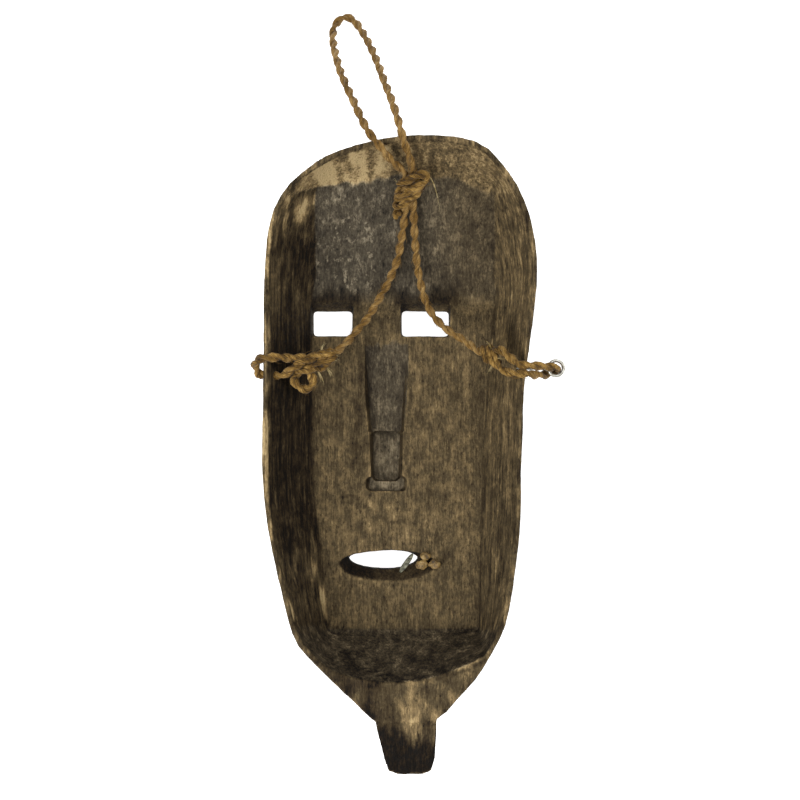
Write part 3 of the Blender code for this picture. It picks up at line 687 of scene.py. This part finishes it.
def surveyMask(data):
    # places, normals and noises at the vertices, which every tone is made from
    points, normals = meshArrays(data)
    s = SimpleNamespace(points=points, proud=edgeWear(data, points, normals))
    s.x, s.y, s.z = points.T
    s.nx, s.ny, s.nz = normals.T
    s.broad = noiseField(points, "broad", 1.0)
    s.middle = noiseField(points, "middle", 4.0)
    s.streak = noiseField(points, "streak", 8.0)
    # places that wander, so that no tone ends along a straight line
    s.wx = s.x + 5 * s.broad + 2 * s.middle
    s.wy = s.y + 6 * s.broad + 3 * s.middle
    return s


def findRegions(s):
    # how far each vertex belongs to each face of the carving, 0 to 1
    r = SimpleNamespace()
    hollow = (s.z < 79.3) & (s.nz > -0.15)
    soft = 0.10 * s.middle + 0.05 * s.broad
    topArch = 8 * ((s.x + 8) / 55) ** 2
    r.wall = smoothStep(s.z, 32, 35) * hollow
    r.topWall = smoothStep(s.wy - 176 + topArch, -1.0, 1.5) * (s.z > 50) * hollow
    r.lowWall = smoothStep(s.ny + 0.3 * soft, 0.2, 0.4) * (s.y < -108) * (s.z > 31) * (s.z < 79)
    between = (1 - r.topWall) * (1 - r.lowWall)
    r.leftWall = smoothStep(s.nx + 0.4 * soft, 0.30, 0.46) * (s.x < -38) * r.wall * between
    r.rightWall = smoothStep(-s.nx + soft, 0.26, 0.50) * (s.x > 18) * r.wall * between
    r.forehead = smoothStep(s.wy, 93, 106) * hollow * (
        (1 - r.leftWall) * (1 - r.rightWall) * (1 - r.topWall))
    r.groove = (s.z < 30) & (s.y > -26) & (s.y < 74) & (s.nz > 0.5)
    r.rim = smoothStep(s.z, 77.0, 79.0) * (s.nz > 0.3)
    r.chin = r.rim * smoothStep(-s.wy, 122, 128)
    r.outside = ((s.nz < -0.15) | ((s.nx > 0.3) & (s.x > 55)) | ((s.nx < -0.3) & (s.x < -75))
                 | ((s.ny > 0.3) & (s.y > 150)) | ((s.ny < -0.3) & (s.y < -120)))
    r.slotSides = (s.z < 36) & (s.z > 12) & (np.abs(s.nz) < 0.5) & (s.y < 95)
    r.mouthBevel = (1 - smoothStep(s.z, 30.4, 31.6)) * (s.nz > -0.3) * (s.y > -90) * (
        (s.y < -62) * window(s.x, (-54, -52), (21, 23)))
    return r


def window(value, rise, fall):
    # climbs from 0 to 1 over one pair of values and falls back over the other
    return smoothStep(value, *rise) * (1 - smoothStep(value, *fall))


def patch(s, place, wide, high):
    # a soft round patch about a place
    return np.exp(-(((s.wx - place[0]) / wide) ** 2 + ((s.wy - place[1]) / high) ** 2))


def shade(s, region):
    parts = toneShades[region]
    return parts["level"] + sum(parts.get(field, 0) * getattr(s, field)
                                for field in ("middle", "broad", "streak"))


def blend(tone, region, shadeOfIt):
    return tone * (1 - region) + region * shadeOfIt


def floorTone(s, r):
    # cheeks and forehead, with painted shade above the eye slots and along the nose groove's left
    # side
    up = s.nz > 0
    tone = shade(s, "floor")
    tone += 0.05 * window(-s.wy, (28, 38), (58, 66)) * (s.nz > 0.6)
    tone = blend(tone, r.forehead, shade(s, "forehead"))
    # painted shade in a strip just above each eye slot, where the brow step shades it
    e = eyeShadeBands
    for low, high in e["spans"]:
        eyeShade = np.exp(-((s.wy - e["y"]) / e["width"]) ** 2) * (
            window(s.x, (low - e["ease"], low), (high, high + e["ease"])))
        tone -= (e["dark"] + 0.15 * s.middle) * eyeShade * up
    # painted shade along the left wall of the nose groove, which faces away from the light
    g = grooveShadeEdge
    grooveShade = s.wx - g["x"] - g["splay"] * (s.y - g["from"])
    grooveShade = np.exp(-(grooveShade / g["width"]) ** 2) * window(s.y, (-24, 0), (56, 76))
    tone -= (g["dark"] + 0.2 * s.middle) * grooveShade * up
    tone += r.groove * np.where(s.y < 11, 0.09, -0.06)
    # painted highlight along the lower rim of the nose box
    lipHighlight = np.exp(-((s.y + 22.5) / 1.8) ** 2) * (np.abs(s.x + 17.5) < 13) * (s.z < 31)
    return tone + 0.16 * lipHighlight * smoothStep(s.streak, -0.3, 0.2)


def paintWalls(tone, s, r):
    # the left wall is nearly black, partly with smoke and partly with painted shade of a wall
    # turned from the light, and rubbed pale in places
    left = shade(s, "leftWall") + 0.17 * smoothStep(-s.y, 30, 105) + 0.2 * s.broad * s.streak
    left += 0.22 * smoothStep(s.y, 70, 110) + 0.10 * smoothStep(s.z, 68, 78)
    p = smokePatch
    left -= p["dark"] * patch(s, p["place"], p["wide"], p["high"])
    tone = blend(tone, r.leftWall, left)
    worn = smoothStep(noiseField(s.points, "worn", 12.0), 0.12, 0.42)
    tone += 0.58 * worn * r.leftWall * smoothStep(-s.y, 50, 90)
    tone += 0.22 * r.leftWall * smoothStep(s.wy, 141, 149) * (1 + 2 * s.middle)
    right = shade(s, "rightWall") - 0.08 * smoothStep(-s.y, -60, 60) + 0.2 * s.broad * s.streak
    tone = blend(tone, r.rightWall, right)
    # strokes fan out over the top wall, which is bare on its left
    pale = window(-s.wx, (6, 22), (62, 80))
    around = np.degrees(np.arctan2(s.x + 10, s.y - 60))
    fan = noiseField(np.stack([around, np.hypot(s.x, s.y - 60), s.z], 1), "fan", 21.0)
    top = shade(s, "topWall") + 0.31 * pale + 0.05 * smoothStep(s.wx, 10, 40)
    top += (0.20 + 0.45 * pale) * fan + 0.08 * pale * s.middle
    tone = blend(tone, r.topWall, top)
    return blend(tone, r.lowWall, shade(s, "lowWall") - 0.07 * smoothStep(s.z, 45, 60))


def paintRim(tone, s, r):
    # dark rim, chin golden on its right, tab burnt at its end
    tone = blend(tone, r.rim, shade(s, "rim") - 0.05 * (s.x > 40))
    tone += 0.30 * r.rim * smoothStep(-s.x, 86, 90) * smoothStep(s.streak, -0.1, 0.2)
    tab = s.y < -150
    golden = 0.30 * smoothStep(s.wx + 4 * s.streak, -14, -2)
    tone += r.chin * (shade(s, "chin") + golden + 0.06 * tab)
    tone -= 0.16 * r.chin * smoothStep(-s.wx, 14, 24) * smoothStep(-s.y, 150, 165)
    return tone - 0.62 * smoothStep(-s.wy + 16 * s.streak + 6 * s.middle, 172, 181) * tab


def paintTones(body):
    # tone, with painted shade and highlight in it, dust for grey bloom, streaky for open grain and
    # flecky for pale specks
    data = body.data
    s = surveyMask(data)
    r = findRegions(s)
    tone = paintRim(paintWalls(floorTone(s, r), s, r), s, r)
    tone = np.where(r.outside, shade(s, "outside"), tone)
    # painted shade on the inner sides of the eye and mouth slots
    tone = np.where(r.slotSides, tone - 0.14, tone)
    # painted shade on the mouth's back bevel, deepest towards its left
    tone -= r.mouthBevel * (0.24 + 0.22 * smoothStep(-s.wx, 22, 34) + 0.15 * s.middle)
    for place, size, dark in blots:
        tone -= dark * patch(s, place, size, size) * (s.nz > 0)
    rubbed = np.clip(s.proud * edgeRub["strength"], -edgeRub["most"], edgeRub["most"])
    tone += rubbed * (0.6 + 0.8 * s.middle)
    for route, wide, deep in cracks:
        away = routeDistance(s.wx, s.wy, route) / (wide * 1.4)
        tone -= 0.22 * deep * np.exp(-away ** 2) * (s.nz > 0.2)
    dust = r.forehead * (0.75 - 0.45 * smoothStep(s.wx, -10, 40)) + 0.05 * (1 - r.forehead)
    dust = np.where(r.outside, 0.05, dust + 0.5 * r.groove + 0.35 * r.lowWall)
    flecky = 0.06 + 0.95 * r.forehead * patch(s, **fleckPatch) + 0.22 * r.forehead
    flecky += 0.2 * r.topWall * smoothStep(s.wx, 25, 45) + 0.1 * (1 - r.wall)
    streaky = (0.30 + 0.7 * (r.leftWall + r.rightWall + r.lowWall) + 1.0 * r.topWall
               + 0.6 * r.rim - 0.55 * r.chin + 0.5 * r.outside)
    layers = {"tone": np.clip(tone, 0.02, 1.0), "dust": np.clip(dust, 0, 1),
              "streaky": np.clip(streaky, 0, 1), "flecky": np.clip(flecky, 0, 1)}
    for name, values in layers.items():
        layer = data.attributes.new(name, "FLOAT", "POINT")
        layer.data.foreach_set("value", values.astype(np.float32))


def agedWood():
    # old softwood, knife-carved and smoked: dull brown-grey, open grain, pale where rubbed; the
    # tone it reads holds painted shade and highlight too
    material, tree, shader = newMaterial("agedCarvedWood")
    coords = addNode(tree, "TexCoord")
    tone, dust, streaky, flecky = [addNode(tree, "Attribute", attribute_name=name)
                                   for name in ("tone", "dust", "streaky", "flecky")]

    def patternOf(size, stretch, detail, low, high, distortion=0.0):
        # noise with features of a size in mm, longer along the grain, spread to 0..1
        space = addNode(tree, "Mapping", {"Vector": (coords, "Object"), "Scale": (1, stretch, 1)})
        field = addNode(tree, "TexNoise", {"Vector": (space, "Vector"), "Scale": 1 / (size * mm),
                                           "Detail": detail, "Roughness": 0.65,
                                           "Distortion": distortion})
        return ramp(tree, (field, "Fac"), ((low, 0.0), (high, 1.0)))

    def addTo(value, amount, pattern):
        return addNode(tree, "Math", {0: (pattern, 0), 1: amount, 2: (value, 0)},
                       operation="MULTIPLY_ADD")

    grain = patternOf(1.1, 0.14, 6.0, 0.38, 0.62, 0.6)
    longStreaks = patternOf(2.2, 0.05, 5.0, 0.39, 0.61, 0.4)
    mottle = patternOf(4.5, 0.7, 6.0, 0.38, 0.62)
    crumbs = patternOf(1.2, 0.55, 5.0, 0.40, 0.60)
    flecks = patternOf(4.6, 0.75, 8.0, 0.54, 0.62)
    pits = patternOf(1.8, 0.4, 4.0, 0.59, 0.66)
    streakPart = addNode(tree, "Math", {0: (longStreaks, 0), 1: (streaky, "Fac")},
                         operation="MULTIPLY")
    fleckPart = addNode(tree, "Math", {0: (flecks, 0), 1: (flecky, "Fac")}, operation="MULTIPLY")
    level = tone
    for amount, pattern in ((0.17, grain), (0.26, streakPart), (0.17, mottle), (0.11, crumbs),
                            (0.29, fleckPart), (-0.20, pits)):
        level = addTo(level, amount, pattern)
    centred = addNode(tree, "Math", {0: (level, 0), 1: 0.235}, operation="SUBTRACT")
    colour = ramp(tree, (centred, "Value"), (
        (0.0, "#0e0a06"), (0.16, "#231a10"), (0.34, "#3f3321"), (0.52, "#574a33"),
        (0.70, "#7c6847"), (0.86, "#a68d62"), (1.0, "#c4ab7c")))
    grey = ramp(tree, (centred, "Value"), (
        (0.0, "#0f0e0c"), (0.3, "#35312a"), (0.52, "#534d42"), (0.75, "#857d6c"),
        (1.0, "#b3aa94")))
    mixed = addNode(tree, "Mix", {"Factor": (dust, "Fac"), "A": (colour, "Color"),
                                  "B": (grey, "Color")}, data_type="RGBA")
    rough = addNode(tree, "MapRange", {"Value": (mottle, 0), "To Min": 0.6, "To Max": 0.86})
    height = addNode(tree, "Math", {0: (grain, 0), 1: 0.6, 2: (crumbs, 0)},
                     operation="MULTIPLY_ADD")
    cut = addTo(height, 0.9, streakPart)
    bump = addNode(tree, "Bump", {"Height": (cut, 0), "Strength": 0.8, "Distance": 0.0004})
    tree.links.new(mixed.outputs["Result"], shader.inputs["Base Color"])
    tree.links.new(rough.outputs["Result"], shader.inputs["Roughness"])
    tree.links.new(bump.outputs["Normal"], shader.inputs["Normal"])
    shader.inputs["Specular IOR Level"].default_value = 0.14
    return material


carvedMask = carveMask()
paintTones(carvedMask)
carvedMask.data.materials.clear()
carvedMask.data.materials.append(agedWood())
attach(carvedMask, "mask")
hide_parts("mask_body")
print("mask carved:", sum(len(p.vertices) - 2 for p in carvedMask.data.polygons), "triangles")


# Screw eye: bent wire with a cut thread, in the right wall

screwValues = {     # in mm
    "ring": (89.7, 54.0, 72.0), "ringRadius": 4.7, "wire": 1.1, "step": 0.2, "tip": 2.0,
    "tipShare": 0.35, "threaded": 0.62, "threadPitch": 1.0, "threadDepth": 0.18,
    "bendStart": 5.0, "neck": (-1.6, -0.5), "arc": (196, 516, 16),
}


def bentWire(name, line, radii, sides=16):
    verts = []
    for point, (tangent, side, up), radius in zip(line, framesAlong(line), radii):
        verts += ringAround(point, side, up, radius, sides)
    return meshPiece(name, verts, tubeFaces(0, len(line), sides))


def buildScrewEye():
    s = screwValues
    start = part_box("screw_eye")[0][0] / mm
    x, y, z = s["ring"]
    shankEnd = x - s["ringRadius"] - s["bendStart"]
    ring = [(x + s["ringRadius"] * math.cos(math.radians(d)),
             y + s["ringRadius"] * math.sin(math.radians(d)), z) for d in range(*s["arc"])]
    neck = (x - s["ringRadius"] + s["neck"][0], y + s["neck"][1], z)
    line = smoothPath(inMetres([(start, y, z), (shankEnd, y, z), neck] + ring), s["step"] * mm)
    radii = []
    for i in range(len(line)):
        run = s["step"] * i
        cut = 0.0
        if run < (shankEnd - start) * s["threaded"]:
            cut = s["threadDepth"] * (1 + math.cos(2 * math.pi * run / s["threadPitch"])) / 2
        taper = s["tipShare"] + (1 - s["tipShare"]) * min(run / s["tip"], 1.0)
        radii.append((s["wire"] * taper - cut) * mm)
    piece = bentWire("screwEye", line, radii)
    faceOutwards(piece)
    bpy.ops.object.shade_smooth_by_angle(angle=math.radians(50))
    return piece


def zincWire():
    # zinc-plated steel wire: bright, a little blue-grey, with dull tarnish and rust in patches
    material, tree, shader = newMaterial("zincPlatedWire")
    coords = addNode(tree, "TexCoord")
    patches = addNode(tree, "TexNoise", {"Vector": (coords, "Object"), "Scale": 420.0,
                                         "Detail": 4.0, "Roughness": 0.65})
    colour = ramp(tree, (patches, "Fac"), ((0.34, "#6f5c45"), (0.46, "#b3b0a6"),
                                           (0.7, "#dcdcd6")))
    rough = ramp(tree, (patches, "Fac"), ((0.36, 0.62), (0.6, 0.26)))
    bump = addNode(tree, "Bump", {"Height": (patches, "Fac"), "Strength": 0.3,
                                  "Distance": 0.0001})
    tree.links.new(colour.outputs["Color"], shader.inputs["Base Color"])
    tree.links.new(rough.outputs["Color"], shader.inputs["Roughness"])
    tree.links.new(bump.outputs["Normal"], shader.inputs["Normal"])
    shader.inputs["Metallic"].default_value = 1.0
    return material


screwEye = buildScrewEye()
screwEye.data.materials.append(zincWire())
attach(screwEye, "mask")
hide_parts("screw_eye")
print("screw eye bent")


# Resin lumps and bark splinter at the mouth

lumpSkin = {"swell": 0.95, "bumps": 0.28, "sink": 0.25}


def resinLump(name, node, seed):
    low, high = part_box(node)
    middle = [(a + b) / 2 for a, b in zip(low, high)]
    deselectAll()
    bpy.ops.mesh.primitive_ico_sphere_add(subdivisions=5, radius=0.5, location=middle)
    lump = nameNew(name)
    lump.scale = [b - a for a, b in zip(low, high)]
    settle(lump, 60)
    points, normals = meshArrays(lump.data)
    push = lumpSkin["swell"] * noiseField(points, "lump", seed)
    push += lumpSkin["bumps"] * noiseField(points, "lumpSkin", seed + 3) - lumpSkin["sink"]
    points = points + normals * push[:, None]
    lump.data.vertices.foreach_set("co", (points * mm).ravel())
    lump.data.update()
    return lump


def driedResin():
    # hardened tree resin: cloudy amber, waxy, dusty in its hollows
    material, tree, shader = newMaterial("driedTreeResin")
    coords = addNode(tree, "TexCoord")
    clouds = addNode(tree, "TexNoise", {"Vector": (coords, "Object"), "Scale": 330.0,
                                        "Detail": 5.0, "Roughness": 0.6})
    colour = ramp(tree, (clouds, "Fac"), ((0.35, "#40301a"), (0.5, "#83693a"), (0.68, "#ad8f58")))
    rough = ramp(tree, (clouds, "Fac"), ((0.4, 0.7), (0.65, 0.38)))
    bump = addNode(tree, "Bump", {"Height": (clouds, "Fac"), "Strength": 0.6,
                                  "Distance": 0.0004})
    tree.links.new(colour.outputs["Color"], shader.inputs["Base Color"])
    tree.links.new(rough.outputs["Color"], shader.inputs["Roughness"])
    tree.links.new(bump.outputs["Normal"], shader.inputs["Normal"])
    shader.inputs["Subsurface Weight"].default_value = 0.15
    shader.inputs["Subsurface Radius"].default_value = (0.002, 0.0012, 0.0006)
    shader.inputs["IOR"].default_value = 1.54
    return material


resinMaterial = driedResin()
for name, node, seed in (("resinUpper", "resin_lump_upper", 2.0),
                         ("resinLower", "resin_lump_lower", 5.0),
                         ("resinRight", "resin_lump_right", 9.0)):
    lump = resinLump(name, node, seed)
    lump.data.materials.append(resinMaterial)
    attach(lump, "mask")
    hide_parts(node)


splinterValues = {"size": (0.0145, 0.0034, 0.0009), "turn": 0.95, "cuts": 14}


def barkSplinter():
    low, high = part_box("mouth_splinter")
    middle = Vector([(a + b) / 2 for a, b in zip(low, high)])
    deselectAll()
    bpy.ops.mesh.primitive_cube_add(size=1, location=middle)
    strip = nameNew("barkSplinter")
    strip.scale = splinterValues["size"]
    strip.rotation_euler = (0, 0, splinterValues["turn"])
    bpy.ops.object.transform_apply(location=False, rotation=False, scale=True)
    bpy.ops.object.mode_set(mode="EDIT")
    bpy.ops.mesh.subdivide(number_cuts=splinterValues["cuts"])
    bpy.ops.mesh.bevel(offset=0.0002, segments=1)
    bpy.ops.object.mode_set(mode="OBJECT")
    for vert in strip.data.vertices:
        along, across, up = vert.co / mm
        tip = abs(along) * mm * 2 / splinterValues["size"][0]
        vert.co.y *= 1 - 0.65 * tip ** 3
        vert.co.z += (0.9 * (1 - tip * tip) - 0.5 + 0.35 * abs(across) ** 1.5 * 0.3) * mm
        vert.co.z += 0.18 * noise.noise(Vector((along * 0.6, across * 2.5, up))) * mm
    settle(strip, 40)
    return strip


def greyBark():
    # dry inner bark: fibrous, grey-green, split along its length
    material, tree, shader = newMaterial("dryInnerBark")
    coords = addNode(tree, "TexCoord")
    space = addNode(tree, "Mapping", {"Vector": (coords, "Object"), "Scale": (0.15, 1, 1),
                                      "Rotation": (0, 0, -splinterValues["turn"])})
    fibres = addNode(tree, "TexNoise", {"Vector": (space, "Vector"), "Scale": 1400.0,
                                        "Detail": 3.0})
    colour = ramp(tree, (fibres, "Fac"), ((0.36, "#34352a"), (0.5, "#605f4e"), (0.66, "#8b8975")))
    bump = addNode(tree, "Bump", {"Height": (fibres, "Fac"), "Strength": 0.7,
                                  "Distance": 0.0003})
    tree.links.new(colour.outputs["Color"], shader.inputs["Base Color"])
    tree.links.new(bump.outputs["Normal"], shader.inputs["Normal"])
    shader.inputs["Roughness"].default_value = 0.85
    return material


splinter = barkSplinter()
splinter.data.materials.append(greyBark())
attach(splinter, "mask")
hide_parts("mouth_splinter")
print("mouth pieces placed")


# Pale floor, lit so that it reads as white paper, and open when seen from below

deselectAll()
bpy.ops.mesh.primitive_plane_add(size=24, location=(0, 0, cadBox[0][2] - 0.0005))
floorSheet = nameNew("floorSheet")
floorMaterial, tree, shader = newMaterial("paleFloor")
shader.inputs["Base Color"].default_value = linear("#f2f2f0")
shader.inputs["Roughness"].default_value = 0.9
shader.inputs["Emission Color"].default_value = linear("#ffffff")
shader.inputs["Emission Strength"].default_value = 0.9
geometry = addNode(tree, "NewGeometry")
clear = addNode(tree, "BsdfTransparent")
choose = addNode(tree, "MixShader", {"Fac": (geometry, "Backfacing"), 1: (shader, "BSDF"),
                                     2: (clear, "BSDF")})
tree.links.new(choose.outputs["Shader"], tree.nodes["Material Output"].inputs["Surface"])
floorSheet.data.materials.append(floorMaterial)
